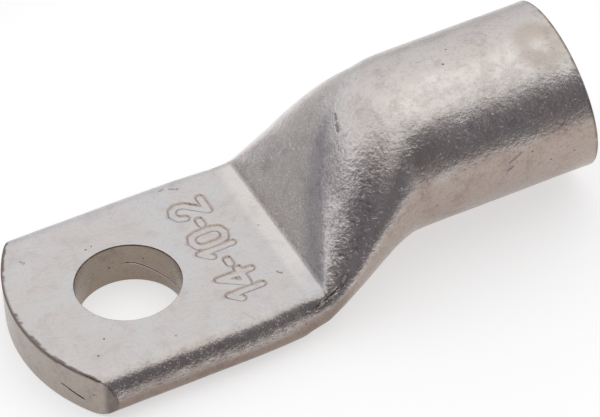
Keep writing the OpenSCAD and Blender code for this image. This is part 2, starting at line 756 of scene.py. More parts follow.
@dataclass
class LugZones:
    """The zone masks, worked out from the skin's own points.

    A fade whose name ends in up or out goes by the skin's direction, upwards or
    towards +Y. Those that start and end the scuffed plate with its painted highlight go by
    degrees round the barrel. The others go by millimetres.
    """

    sizes: LugSizes
    form: LugForm
    marks: Marks
    points: np.ndarray
    normals: np.ndarray

    wavy_noise: Waver = Waver(1.2, 2.2, 11)
    fine_noise: Waver = Waver(1.0, 0.35, 31)
    palm_half: float = 9.9
    palm_skin: float = 0.25
    barrel_from: float = 30.0

    cut_share: float = 0.84
    cut_width: float = 0.06
    hole_reach: float = 0.25
    hole_up: float = 0.6
    rim_width: float = 0.12
    rim_noise: Waver = Waver(0.08, 0.6, 25)

    facet_side: Fade = Fade(0.2, 1.1)
    facet_shake: float = 0.25
    band_shake: float = 0.25
    flank_out: Fade = Fade(-0.72, -0.5)
    crinkled: Patch = Patch((Fade(-0.6, 0.5),), (Fade(21.5, 17.5),), (Fade(3.0, 0.0),), wavy=1.0)
    palm_side: Fade = Fade(7.6, 8.3)
    palm_side_up: float = 0.3
    palm_side_share: float = 0.25

    # The tip's upper edge, the fold's crease, the tip's corner, the +Y edge and the mouth's rim are
    # darkened: painted shade, with some dirt.
    tip_edge_in: float = 0.03
    tip_edge_width: float = 0.17
    tip_noises: tuple[Waver, ...] = (Waver(0.11, 0.5, 21), Waver(0.06, 0.2, 22))
    tip_near: Fade = Fade(3.0, -5.0)
    tip_near_width: float = 0.05
    tip_edge_fade: Fade = Fade(0.08, -0.02)

    crease_in: float = 0.05
    crease: Fade = Fade(0.2, 0.02)
    crease_share: float = 0.35
    crease_up: Fade = Fade(0.1, 0.4)
    crease_side: Fade = Fade(8.6, 7.8)

    corner_in: float = 0.1
    corner: Fade = Fade(0.42, 0.08)
    corner_side: Fade = Fade(-8.9, -9.4)
    corner_to: float = -5.0
    corner_share: float = 0.95
    dark_line_shake: float = 0.12

    far_edge: Patch = Patch((Fade(0.5, -1.0),), (), (Fade(8.4, 8.9),), (Fade(0.88, 0.76),), 0.0, 0.08)
    far_edge_dark: Band = (0.45, 0.35)
    lip_in: Band = (0.13, 0.07)
    lip: Fade = Fade(-0.04, 0.05)
    lip_wall: float = 1.2
    lip_share: float = 0.7

    stain_place: Place = (35.1, -2.1, 14.6)
    stain_ring: float = 1.3
    stain: Fade = Fade(1.3, 0.2)
    stain_from_z: float = 10.0
    stain_shake: float = 0.35

    face: Patch = Patch((Fade(0.1, -0.2),), up=(Fade(0.85, 0.97),))
    # Painted shade on the palm's -Y flank, below its rounded edge.
    smeared: Patch = Patch(
        (), (Fade(16.8, 13.3),), (Fade(-8.5, -9.2),), (Fade(0.6, 0.25),), 0.8, 0.12
    )
    struck_depth: Band = (0.4, 0.1)
    # Faces that turn down get painted shade, darker and warmer.
    under_up: Fade = Fade(0.44, 0.12)
    under_shake: float = 0.05

    # The scuffed plate on the barrel is also a painted highlight.
    flaked_start: Fade = Fade(2.0, 20.0)
    flaked_end: Fade = Fade(58.0, 38.0)
    flaked_along: Fade = Fade(19.5, 23.0)
    flaked_shake: float = 9.0
    flaked_wall: float = 1.0
    # A strip of wear on top before the fold.
    rubbed: Patch = Patch((Fade(-1.7, -1.0), Fade(0.0, -0.2)))
    # Painted highlight: the bend where it faces up.
    bend: Patch = Patch((Fade(0.0, 0.4),), (Fade(22.5, 18.5),), (), (Fade(0.3, 0.55),), 1.0)

    def __post_init__(self) -> None:
        """Work out what several masks share."""
        s = self.sizes
        self.x, self.y, self.z = self.points.T
        self.up = self.normals[:, 2]
        self.radius = np.hypot(self.y, self.z - s.barrel_z)
        self.tip_x = self.form.tip_x(np.clip(self.y, -self.palm_half, self.palm_half))
        self.mouth_x = self.form.mouth_plane_x(self.z)
        self.on_barrel = self.x > self.barrel_from
        self.wavy = self.wavy_noise.at(self.points)
        self.fine = self.fine_noise.at(self.points)
        self.at_tip = (self.x < self.tip_x + self.cut_width) * (self.x < 0.0)
        self.on_top = self.crease_up.of(self.up) * self.crease_side.of(np.abs(self.y))

    def masks(self) -> dict[Zone, np.ndarray]:
        """Work out every mask.

        Returns:
            One mask per zone.
        """
        # Painted shade on faces that turn down.
        under = self.under_up.of(self.up + self.under_shake * self.wavy) * (1.0 - self.at_tip)
        return {
            Zone.BAND: self.marks.band.mask(self.points, self.band_shake * self.wavy),
            Zone.RUBBED: self.within(self.rubbed) * self.on_top,
            Zone.FLAKED: self.flaked(),
            Zone.BEND: self.within(self.bend),
            Zone.HAMMERED: self.hammered(),
            Zone.CUT: self.cut(),
            Zone.GRIME: self.grime(),
            Zone.STAIN: self.stained(),
            Zone.FACE: self.within(self.face),
            Zone.SMEARED: self.within(self.smeared) * (1.0 - self.at_tip),
            Zone.STRUCK: self.struck(),
            Zone.UNDER: under,
        }

    def within(self, patch: Patch) -> np.ndarray:
        """How much of a patch there is at each point.

        Args:
            patch: The patch.

        Returns:
            One value per point.
        """
        along = self.x + patch.wavy * self.wavy
        up = self.up + patch.fine * self.fine
        fold = tuple(fade.past(self.sizes.fold_x) for fade in patch.fold)
        edges = ((self.x, fold), (along, patch.along), (self.y, patch.across), (up, patch.up))
        mask = np.ones(len(self.points))
        for value, fades in edges:
            for fade in fades:
                mask *= fade.of(value)
        return mask

    def cut(self) -> np.ndarray:
        """Bare cut metal in the hole, on the tip's face and on the sawn mouth.

        Returns:
            One value per point.
        """
        reach = np.hypot(self.x, self.y)
        in_hole = (reach < self.sizes.hole_r + self.hole_reach) * (np.abs(self.up) < self.hole_up)
        rim = self.rim_width + self.rim_noise.at(self.points)
        at_mouth = (self.x > self.mouth_x - rim) * self.on_barrel
        return np.maximum(in_hole, self.cut_share * np.maximum(self.at_tip, at_mouth))

    def hammered(self) -> np.ndarray:
        """Crinkled metal on the bend, beside the facet, and a little on the palm's sides.

        Returns:
            One value per point.
        """
        facet_gap = np.abs(self.y) - self.form.top_flat(self.x)
        mask = self.facet_side.of(facet_gap + self.facet_shake * self.wavy)
        mask *= self.within(self.crinkled) * self.flank_out.of(self.normals[:, 1])
        side = self.palm_side.of(np.abs(self.y)) * (self.up > self.palm_side_up)
        side *= self.x < self.sizes.fold_x
        return np.maximum(mask, self.palm_side_share * side)

    def grime(self) -> np.ndarray:
        """Painted shade in the fold, the pinch and the tip's corner, and along the edges, with some
        dirt.

        Returns:
            One value per point.
        """
        base, uneven = self.far_edge_dark
        found = (
            self.tip_edge(),
            self.crease_share * self.fold_crease(),
            self.marks.pinch.mask(self.points, self.dark_line_shake * self.fine),
            self.corner_share * self.tip_corner(),
            self.within(self.far_edge) * (base + uneven * self.fine),
            self.lip_share * self.mouth_lip(),
        )
        return np.maximum.reduce(found)

    def tip_edge(self) -> np.ndarray:
        """The ragged upper edge of the sheared tip, darkened as painted shade.

        Returns:
            One value per point.
        """
        width = self.tip_edge_width
        for noise in self.tip_noises:
            width = width + noise.at(self.points)
        width = width + self.tip_near_width * self.tip_near.of(self.y)
        gap = np.abs(self.x - self.tip_x - self.tip_edge_in)
        fade = self.tip_edge_fade
        mask = smoothstep(gap, width + fade.start, width + fade.end)
        return mask * (self.z > self.sizes.palm_t - self.palm_skin)

    def fold_crease(self) -> np.ndarray:
        """The thin line of the fold on top, darkened as painted shade in the crease."""
        gap = np.abs(self.x - self.sizes.fold_x - self.crease_in)
        return self.crease.of(gap) * self.on_top

    def tip_corner(self) -> np.ndarray:
        """The tip's corner on the -Y side, darkened as painted shade."""
        gap = np.abs(self.x - self.tip_x - self.corner_in) + self.dark_line_shake * self.fine
        return self.corner.of(gap) * self.corner_side.of(self.y) * (self.x < self.corner_to)

    def mouth_lip(self) -> np.ndarray:
        """The outer rim of the sawn mouth, darkened as painted shade where it turns away at a grazing
        angle.

        Returns:
            One value per point.
        """
        base, uneven = self.lip_in
        edge = self.mouth_x - base - uneven * self.fine
        mask = smoothstep(self.x, edge + self.lip.start, edge + self.lip.end)
        return mask * (self.radius > self.sizes.bore_r + self.lip_wall) * self.on_barrel

    def stained(self) -> np.ndarray:
        """The tan ring of a stain on top of the barrel.

        Returns:
            One value per point.
        """
        reach = np.linalg.norm(self.points - np.array(self.stain_place), axis=1)
        ring = np.abs(reach + self.stain_shake * self.wavy - self.stain_ring)
        return self.stain.of(ring) * (self.z > self.stain_from_z)

    def struck(self) -> np.ndarray:
        """The walls of the struck numerals, which the finish darkens as painted shade.

        Returns:
            One value per point.
        """
        stamp = self.marks.stamp
        share = stamp.depth_at(self.points[:, :2]) / stamp.depth
        below, above = self.struck_depth
        palm_t = self.sizes.palm_t
        at_top = (self.z > palm_t - below) * (self.z < palm_t + above)
        return 4.0 * share * (1.0 - share) * at_top

    def flaked(self) -> np.ndarray:
        """Scuffed plate along the barrel, with a painted highlight, by the turn from its top towards
        -Y.

        Returns:
            One value per point.
        """
        turn = np.degrees(np.arctan2(-self.y, self.z - self.sizes.barrel_z))
        turn = turn + self.flaked_shake * self.wavy
        mask = self.flaked_start.of(turn) * self.flaked_end.of(turn)
        outside = self.radius > self.sizes.bore_r + self.flaked_wall
        return mask * self.flaked_along.of(self.x) * outside


# The skin


@dataclass(frozen=True)
class TipSeam:
    """The line of the seam in the tip's face, and the short stretch that is open.

    Args:
        half_gap: Half the height of the ring that the face starts from.
        opens: Fade along Y at which the open stretch starts.
        closes: Fade along Y at which it ends.
        depths: Depth of the open stretch, first at its floor and then at its lip.
        squeeze: Share of the ring's height that is left where the seam is shut.
        widen: Share of it that the open stretch adds.
        drop: How far below the middle the seam lies.
        drop_from: Place along Y from which it lies higher or lower.
        drop_slope: How much it sinks per millimetre beyond that place.
        drop_limits: Distances from that place at which the sinking stops.
    """

    half_gap: float = 0.03
    opens: Fade = Fade(-7.6, -7.4)
    closes: Fade = Fade(-5.4, -5.6)
    depths: tuple[float, float] = (0.5, 0.04)
    squeeze: float = 0.06
    widen: float = 1.2
    drop: float = 0.34
    drop_from: float = -5.6
    drop_slope: float = 0.24
    drop_limits: Band = (-1.4, 2.1)

    def sink(self, y: np.ndarray) -> np.ndarray:
        """How far below the middle the seam lies at y."""
        return self.drop + self.drop_slope * np.clip(self.drop_from - y, *self.drop_limits)


@dataclass(frozen=True)
class StudHole:
    """The stud hole, with its rim rounded by wear and the seam that shows in its wall.

    Args:
        under: Edges of the cutter near the underside. Each is what it adds to the
            radius, its height from there, and its share of the seam's depth.
        middle: Edges near the palm's middle.
        top: Edges near the palm's top.
        sides: Sides of the cutter.
        seam_depth: Depth of the seam where it is open.
        seam_shut: Depth of it elsewhere.
        seam_turn: Direction in which it opens, in radians from +X.
        seam_open: Its fade, by the cosine of the angle from that direction.
        sag: How far the seam sinks in the wall, on the side towards the barrel.
        sag_open: Fade of the sag, by the cosine of the angle from +X.
        sag_reach: Distance from the middle within which the edges sink with the
            seam, and distance from the palm's faces within which they stay put.
    """

    under: tuple[Place, ...] = (
        (0.5, -0.5, 0.0),
        (0.06, -0.06, 0.0),
        (0.0, 0.1, 0.0),
        (0.0, 0.3, 0.0),
    )
    middle: tuple[Place, ...] = (
        (0.0, -0.18, 0.0),
        (0.0, -0.05, 0.0),
        (0.0, -0.035, 1.0),
        (0.0, 0.035, 1.0),
        (0.0, 0.05, 0.0),
        (0.0, 0.18, 0.0),
    )
    top: tuple[Place, ...] = (
        (0.0, -0.3, 0.0),
        (0.0, -0.14, 0.0),
        (0.03, -0.05, 0.0),
        (0.11, 0.02, 0.0),
        (0.6, 0.5, 0.0),
    )
    sides: int = 160
    seam_depth: float = 0.12
    seam_shut: float = 0.004
    seam_turn: float = 0.15
    seam_open: Fade = Fade(0.35, 0.75)
    sag: float = 0.8
    sag_open: Fade = Fade(0.4, 1.0)
    sag_reach: Band = (0.2, 0.3)

    def rings(self, radius: float, palm_t: float) -> np.ndarray:
        """Lay out the cutter for the hole.

        Args:
            radius: The hole's radius.
            palm_t: Thickness of the palm.

        Returns:
            Rings of points from below the palm to above it, as rings x points x 3.
        """
        middle = palm_t / 2.0
        angles = np.arange(self.sides) * 2.0 * math.pi / self.sides
        open_seam = self.seam_depth * self.seam_open.of(np.cos(angles - self.seam_turn))
        open_seam = open_seam + self.seam_shut
        sag = self.sag * self.sag_open.of(np.cos(angles))
        start, short = self.sag_reach
        rings = []
        for level, edges in ((0.0, self.under), (middle, self.middle), (palm_t, self.top)):
            for extra, height, seam in edges:
                r = radius + extra + seam * open_seam
                z = level + height
                drop = sag * smoothstep(np.array(abs(z - middle)), middle - short, start)
                places = (r * np.cos(angles), r * np.sin(angles), z - drop)
                rings.append(np.column_stack(places))
        return np.array(rings)


@dataclass
class LugSkin:
    """The fine mesh of the whole lug.

    Rings run from the seam in the tip's face, round the tip's edge, along the outside
    to the mouth, over the lip and back down the bore to where the hollow closes.
    """

    sizes: LugSizes
    form: LugForm
    marks: Marks
    seam: TipSeam = TipSeam()
    hole: StudHole = StudHole()

    top_steps: int = 200
    under_steps: int = 84
    edge_r: float = 0.1
    lip_r: float = 0.12
    chamfer: float = 0.3
    round_rings: int = 4

    face_rings: int = 14
    face_margin: float = 0.05
    straight_rings: int = 24
    join_x: float = -4.6

    plain_step: float = 0.3
    stamp_step: float = 0.075
    stamp_margin: float = 0.4
    palm_step: float = 0.2
    fold_step: float = 0.06
    fold_margins: Band = (0.35, 0.5)
    bend_step: float = 0.17

    lean_len: float = 2.4
    lean_rings: int = 12
    bore_step: float = 1.0
    hollow_step: float = 0.4
    hollow_past_fold: float = 0.2
    mark_fade: tuple[float, ...] = (0.0, 0.3, 0.7)

    def ring(self, x: float, inset: float) -> np.ndarray:
        """One ring as rows of x, y, z, with every x the same."""
        yz = self.form.section(x, inset, (self.top_steps, self.under_steps))
        return np.column_stack([np.full(len(yz), x), yz])

    def quarter_turns(self) -> np.ndarray:
        """Angles of the rings that round an edge, without the ring at its start."""
        return np.linspace(0.0, math.pi / 2.0, self.round_rings + 1)[1:]

    def tip_rings(self) -> list[np.ndarray]:
        """Rings over the sheared face and its rounded edge.

        Returns:
            Rings from the seam outwards, the last of them round the edge.
        """
        s, form, seam = self.sizes, self.form, self.seam
        middle = s.palm_t / 2.0
        closed = middle - seam.half_gap
        slot = self.ring(-s.tip_reach, closed)
        open_stretch = seam.opens.of(slot[:, 1]) * seam.closes.of(slot[:, 1])
        rings = []
        for depth in seam.depths:
            deep = slot.copy()
            deep[:, 0] = form.tip_x(deep[:, 1]) + depth * open_stretch
            gap = deep[:, 2] - middle
            deep[:, 2] = middle + gap * (seam.squeeze + seam.widen * open_stretch)
            rings.append(deep)
        for inset in np.linspace(closed - self.face_margin, self.edge_r, self.face_rings):
            face = self.ring(-s.tip_reach, float(inset))
            face[:, 0] = form.tip_x(face[:, 1])
            rings.append(face)
        for ring, share in zip(rings, [1.0, *np.linspace(1.0, 0.0, len(rings) - 1)]):
            ring[:, 2] -= share * seam.sink(ring[:, 1])
        for turn in self.quarter_turns():
            edge = self.ring(-s.tip_reach, self.edge_r * (1.0 - math.sin(turn)))
            edge[:, 0] = form.tip_x(edge[:, 1]) + self.edge_r * (1.0 - math.cos(turn))
            rings.append(edge)
        return rings

    def palm_rings(self) -> list[np.ndarray]:
        """Rings that straighten from the tip's curve to a plane across the palm.

        Returns:
            Rings from the tip towards the stud hole.
        """
        rings = []
        for t in np.linspace(0.0, 1.0, self.straight_rings + 2)[1:-1]:
            ring = self.ring(self.join_x, 0.0)
            curve = self.form.tip_x(ring[:, 1]) + self.edge_r
            ring[:, 0] = curve + (self.join_x - curve) * t
            rings.append(ring)
        return rings

    def outside_stations(self, end: float) -> np.ndarray:
        """Places along X of the plain rings, closer together where detail is fine.

        Args:
            end: Where they stop.

        Returns:
            Places in rising order.
        """
        stamp, s = self.marks.stamp, self.sizes
        before_fold, after_fold = self.fold_margins
        stretches = (
            (self.join_x, self.plain_step),
            (stamp.foot_x - stamp.height - self.stamp_margin, self.stamp_step),
            (stamp.foot_x + self.stamp_margin, self.palm_step),
            (s.fold_x - before_fold, self.fold_step),
            (s.fold_x + after_fold, self.bend_step),
            (s.bend_end_x, self.plain_step),
            (end, self.plain_step),
        )
        parts = []
        for (low, step), (high, _) in zip(stretches[:-1], stretches[1:]):
            count = max(2, round((high - low) / step))
            parts.append(np.linspace(low, high, count, endpoint=False))
        return np.concatenate(parts)

    def mouth_rings(self, start: float) -> list[np.ndarray]:
        """Rings that lean over to the saw cut, round the lip and into the bore.

        Args:
            start: Place along X where the rings start to lean.

        Returns:
            Rings from there to the mouth and back, the leaning ones first.
        """
        s, form = self.sizes, self.form
        rings = []
        plain = self.ring(s.mouth_x, 0.0)
        edge = form.mouth_plane_x(plain[:, 2]) - self.lip_r
        for t in np.linspace(0.0, 1.0, self.lean_rings):
            ring = plain.copy()
            ring[:, 0] = start + (edge - start) * t
            rings.append(ring)
        for turn in self.quarter_turns():
            ring = self.ring(s.mouth_x, self.lip_r * (1.0 - math.cos(turn)))
            back = self.lip_r * (1.0 - math.sin(turn))
            ring[:, 0] = form.mouth_plane_x(ring[:, 2]) - back
            rings.append(ring)
        for inset in np.linspace(self.lip_r, s.wall - self.chamfer, self.round_rings + 1)[1:]:
            ring = self.ring(s.mouth_x, float(inset))
            ring[:, 0] = form.mouth_plane_x(ring[:, 2])
            rings.append(ring)
        inner = self.ring(s.mouth_x, s.wall)
        start_x = form.mouth_plane_x(inner[:, 2]) - self.chamfer
        for t in np.linspace(0.0, 1.0, self.round_rings + 1)[:-1]:
            ring = inner.copy()
            ring[:, 0] = start_x + (start - start_x) * t
            rings.append(ring)
        return rings

    def inside_rings(self, start: float) -> list[np.ndarray]:
        """Rings back down the bore, to where the two walls meet.

        Args:
            start: Place along X of the first ring.

        Returns:
            Rings from there towards the fold.
        """
        s = self.sizes
        bore = np.arange(start, s.bend_end_x, -self.bore_step)
        hollow = np.arange(s.bend_end_x, s.fold_x - self.hollow_past_fold, -self.hollow_step)
        return [self.ring(float(x), s.wall) for x in np.concatenate([bore, hollow])]

    def outward(self, grid: np.ndarray) -> np.ndarray:
        """Outward directions of a grid of rings.

        Args:
            grid: Rings of points, as rings x points x 3.

        Returns:
            Unit directions of the same shape.
        """
        along = np.gradient(grid, axis=0)
        around = np.roll(grid, -1, axis=1) - np.roll(grid, 1, axis=1)
        normal = np.cross(around, along)
        length = np.linalg.norm(normal, axis=2, keepdims=True)
        return normal / np.maximum(length, TINY)

    def marked(self, outer: np.ndarray) -> np.ndarray:
        """Press the marks into the outside, fading out at its first and last rings.

        Args:
            outer: Rings of the smooth outside, as rings x points x 3.

        Returns:
            The marked rings.
        """
        normals = self.outward(outer)
        depth = self.marks.depth_at(outer.reshape(-1, 3), normals.reshape(-1, 3))
        fade = np.ones(len(outer))
        fade[: len(self.mark_fade)] = self.mark_fade
        fade[-len(self.mark_fade) :] = self.mark_fade[::-1]
        depth = depth.reshape(outer.shape[:2]) * fade[:, None]
        return outer - normals * depth[:, :, None]

    def build(self) -> bpy.types.Object:
        """Make the mesh, drill it, and mark its zones.

        Returns:
            The finished object.
        """
        lean_x = self.sizes.mouth_x - self.lean_len
        tip, mouth = self.tip_rings(), self.mouth_rings(lean_x)
        plain = [self.ring(float(x), 0.0) for x in self.outside_stations(lean_x)]
        edge, leaning = tip[-self.round_rings :], mouth[: self.lean_rings]
        outer = self.marked(np.array(edge + self.palm_rings() + plain + leaning))
        inner = mouth[self.lean_rings :] + self.inside_rings(lean_x)
        face = np.array(tip[: -self.round_rings])
        grid = np.concatenate([face, outer, np.array(inner)])
        LOG.info("skin: %d rings of %d points", len(grid), grid.shape[1])
        skin = mesh_from_rings("lug_skin", grid)
        self.drill(skin)
        self.mark_zones(skin)
        return skin

    def drill(self, skin: bpy.types.Object) -> None:
        """Cut the stud hole.

        Args:
            skin: The object to cut.
        """
        rings = self.hole.rings(self.sizes.hole_r, self.sizes.palm_t)
        cutter = mesh_from_rings("hole_cutter", rings)
        recalculate_normals(cutter)
        recalculate_normals(skin)
        cut = skin.modifiers.new("stud_hole", "BOOLEAN")
        cut.operation = "DIFFERENCE"
        cut.solver = "EXACT"
        cut.object = cutter
        apply_modifiers(skin)
        bpy.data.objects.remove(cutter, do_unlink=True)

    def mark_zones(self, skin: bpy.types.Object) -> None:
        """Write the zone masks, from the final place of every point.

        Args:
            skin: The finished mesh.
        """
        mesh = skin.data
        flat = np.empty(len(mesh.vertices) * 3)
        mesh.vertices.foreach_get("co", flat)
        points = flat.reshape(-1, 3) / MM
        mesh.vertices.foreach_get("normal", flat)
        normals = flat.reshape(-1, 3)
        zones = LugZones(self.sizes, self.form, self.marks, points, normals)
        for zone, values in zones.masks().items():
            layer = mesh.attributes.new(zone.value, "FLOAT", "POINT")
            layer.data.foreach_set("value", np.clip(values, 0.0, 1.0))


def mesh_from_rings(name: str, grid: np.ndarray) -> bpy.types.Object:
    """Skin rings with quads and close both ends.

    Args:
        name: Name of the object and its mesh.
        grid: Rings of points, as rings x points x 3.

    Returns:
        A closed object, in metres.
    """
    rings, count, _ = grid.shape
    first = np.arange(rings - 1)[:, None] * count
    step = np.arange(count)[None, :]
    after = (step + 1) % count
    quads = np.stack(
        [first + step, first + count + step, first + count + after, first + after],
        axis=2,
    ).reshape(-1, 4)
    faces = quads.tolist()
    faces.append(list(range(count)))
    faces.append([(rings - 1) * count + i for i in reversed(range(count))])
    mesh = bpy.data.meshes.new(name)
    mesh.from_pydata((grid.reshape(-1, 3) * MM).tolist(), [], faces)
    mesh.validate()
    made = bpy.data.objects.new(name, mesh)
    bpy.context.scene.collection.objects.link(made)
    return made


def recalculate_normals(target: bpy.types.Object) -> None:
    """Turn every face of a closed mesh outwards.

    Args:
        target: The object whose mesh is turned.
    """
    work = bmesh.new()
    work.from_mesh(target.data)
    bmesh.ops.recalc_face_normals(work, faces=work.faces)
    work.to_mesh(target.data)
    work.free()


def apply_modifiers(target: bpy.types.Object) -> None:
    """Replace an object's mesh with what its modifiers make of it.

    Args:
        target: The object.
    """
    graph = bpy.context.evaluated_depsgraph_get()
    done = bpy.data.meshes.new_from_object(target.evaluated_get(graph))
    target.modifiers.clear()
    old = target.data
    target.data = done
    bpy.data.meshes.remove(old)


# Shader wrapper


class Link:
    """An output socket that works in Python expressions."""

    def __init__(self, tree: "ShaderTree", socket: bpy.types.NodeSocket) -> None:
        """Keep the tree and the socket.

        Args:
            tree: The tree that new nodes are added to.
            socket: The output socket.
        """
        self.tree = tree
        self.socket = socket

    def _math(self, operation: str, *values: "Link | float") -> "Link":
        """Add one Math node."""
        return self.tree.node("ShaderNodeMath", {"operation": operation}, list(values))[0]

    def __add__(self, other: "Link | float") -> "Link":
        """Add a value."""
        return self._math("ADD", self, other)

    def __radd__(self, other: float) -> "Link":
        """Add to a number."""
        return self._math("ADD", other, self)

    def __sub__(self, other: "Link | float") -> "Link":
        """Take a value away."""
        return self._math("SUBTRACT", self, other)

    def __rsub__(self, other: float) -> "Link":
        """Take from a number."""
        return self._math("SUBTRACT", other, self)

    def __mul__(self, other: "Link | float") -> "Link":
        """Multiply by a value."""
        return self._math("MULTIPLY", self, other)

    def __rmul__(self, other: float) -> "Link":
        """Multiply a number."""
        return self._math("MULTIPLY", other, self)

    def __truediv__(self, other: "Link | float") -> "Link":
        """Divide by a value."""
        return self._math("DIVIDE", self, other)

    def maximum(self, other: "Link | float") -> "Link":
        """The greater of two values."""
        return self._math("MAXIMUM", self, other)

    def minimum(self, other: "Link | float") -> "Link":
        """The lesser of two values."""
        return self._math("MINIMUM", self, other)

    def between(self, low: float, high: float) -> "Link":
        """Ease from 0 to 1, held level outside.

        Args:
            low: Value at which the result is 0.
            high: Value at which the result is 1. It may be less than low.

        Returns:
            The eased value.
        """
        sockets = {"Value": self, "From Min": low, "From Max": high}
        settings = {"interpolation_type": "SMOOTHSTEP", "clamp": True}
        return self.tree.node("ShaderNodeMapRange", settings, sockets)[0]


class Seen(Enum):
    """Kinds of ray, by the output of the Light Path node that is 1 for them."""

    CAMERA = 0
    GLOSSY = 3
    TRANSMITTED = 6


class ShaderTree:
    """Adds nodes to a material's or world's tree."""

    def __init__(self, tree: bpy.types.NodeTree) -> None:
        """Empty the tree.

        Args:
            tree: The tree to fill.
        """
        self.tree = tree
        tree.nodes.clear()

    def node(
        self,
        kind: str,
        settings: dict[str, object] | None = None,
        sockets: "dict[str | int, object] | list[object] | None" = None,
    ) -> list[Link]:
        """Add one node.

        Args:
            kind: Blender's type name of the node.
            settings: The node's own settings, set before its sockets.
            sockets: Values or links of its inputs, by name, by number or in order.

        Returns:
            Its outputs.
        """
        node = self.tree.nodes.new(kind)
        for name, value in (settings or {}).items():
            setattr(node, name, value)
        pairs = enumerate(sockets) if isinstance(sockets, list) else (sockets or {}).items()
        for key, value in pairs:
            target = node.inputs[key]
            if isinstance(value, Link):
                self.tree.links.new(value.socket, target)
            else:
                target.default_value = value
        return [Link(self, out) for out in node.outputs]

    def vector(self, operation: str, values: "list[object] | dict[str | int, object]") -> list[Link]:
        """Add one Vector Math node.

        Args:
            operation: What it does.
            values: Values or links of its inputs.

        Returns:
            Its outputs, the vector first and the value after it.
        """
        return self.node("ShaderNodeVectorMath", {"operation": operation}, values)

    def _blend(self, kind: str, factor: Link | float, low: object, high: object) -> Link:
        """Add one Mix node for colours.

        Args:
            kind: How it combines the two.
            factor: 0 for low alone and 1 for the whole effect of high.
            low: Colour or link.
            high: Colour or link.

        Returns:
            The combined colour.
        """
        low, high = (c if isinstance(c, Link) else (*c, 1.0) for c in (low, high))
        settings = {"data_type": "RGBA", "blend_type": kind}
        return self.node("ShaderNodeMix", settings, {0: factor, 6: low, 7: high})[2]

    def mix(self, factor: Link | float, low: object, high: object) -> Link:
        """Mix two colours, from low at 0 to high at 1."""
        return self._blend("MIX", factor, low, high)

    def multiply(self, factor: Link | float, low: object, high: object) -> Link:
        """Multiply two colours, by as much as the factor says."""
        return self._blend("MULTIPLY", factor, low, high)

    def attribute(self, zone: Zone) -> Link:
        """Read a zone mask from the skin."""
        return self.node("ShaderNodeAttribute", {"attribute_name": zone.value})[2]

    def place_mm(self) -> Link:
        """The place on the object, in millimetres."""
        inner = self.node("ShaderNodeTexCoord")[3]
        return self.vector("SCALE", {0: inner, "Scale": 1.0 / MM})[0]

    def mapping(self, place: Link, **sockets: Place) -> Link:
        """Move, turn or scale a place, by the sockets of the Mapping node."""
        return self.node("ShaderNodeMapping", None, {"Vector": place, **sockets})[0]

    def gap_to_line(self, place: Link, start: Place, end: Place) -> Link:
        """Distance from a place to a straight line between two points.

        Args:
            place: The place.
            start: One end of the line.
            end: Its other end.

        Returns:
            The distance.
        """
        run = Vector(end) - Vector(start)
        off = self.vector("SUBTRACT", [place, start])[0]
        along = self.vector("DOT_PRODUCT", [off, tuple(run)])[1]
        share = (along / run.length_squared).maximum(0.0).minimum(1.0)
        part = self.vector("SCALE", {0: tuple(run), "Scale": share})[0]
        return self.vector("DISTANCE", [off, part])[1]

    def surface(self, kind: str, shader: Link) -> None:
        """End the tree with an output node of a kind."""
        self.node(kind, None, {"Surface": shader})


def new_material(name: str) -> tuple[bpy.types.Material, ShaderTree]:
    """Make an empty material.

    Args:
        name: Its name.

    Returns:
        The material and its tree.
    """
    made = bpy.data.materials.new(name)
    made.use_nodes = True
    return made, ShaderTree(made.node_tree)


# Finishes


@dataclass(frozen=True)
class Grain:
    """A noise.

    Args:
        scale: Features a millimetre.
        detail: How many finer layers it has.
        rough: How strong each finer layer is.
        limits: Values between which it eases from 0 to 1, where it is used as a mask.
    """

    scale: float
    detail: float = 2.0
    rough: float = 0.5
    limits: Band = (0.0, 1.0)

    def drawn(self, place: Link) -> Link:
        """The plain noise, about 0.5.

        Args:
            place: Where it is evaluated.

        Returns:
            The noise.
        """
        sockets = {
            "Vector": place,
            "Scale": self.scale,
            "Detail": self.detail,
            "Roughness": self.rough,
        }
        return place.tree.node("ShaderNodeTexNoise", None, sockets)[0]

    def mask(self, place: Link) -> Link:
        """The noise as a mask."""
        return self.drawn(place).between(*self.limits)


@dataclass(frozen=True)
class Tint:
    """A colour that part of a finish takes on.

    Args:
        colour: The colour.
        share: How much of it there is where its mask is whole.
    """

    colour: Colour
    share: float

    def mixed(self, mask: Link, under: Link) -> Link:
        """Mix the colour in over another, where a mask from 0 to 1 says."""
        return under.tree.mix(self.share * mask, under, self.colour)

    def multiplied(self, mask: Link, under: Link) -> Link:
        """Tint another colour by multiplying it, where a mask from 0 to 1 says."""
        return under.tree.multiply(self.share * mask, under, self.colour)


@dataclass(frozen=True)
class Nick:
    """A fine nick or pit in the plating, drawn by the finish alone.

    Args:
        start: One end, in millimetres.
        end: The other end.
        width: Its width.
        dark: How dark the dirt in it is, from 0 to 1.
    """

    start: Place
    end: Place
    width: float
    dark: float


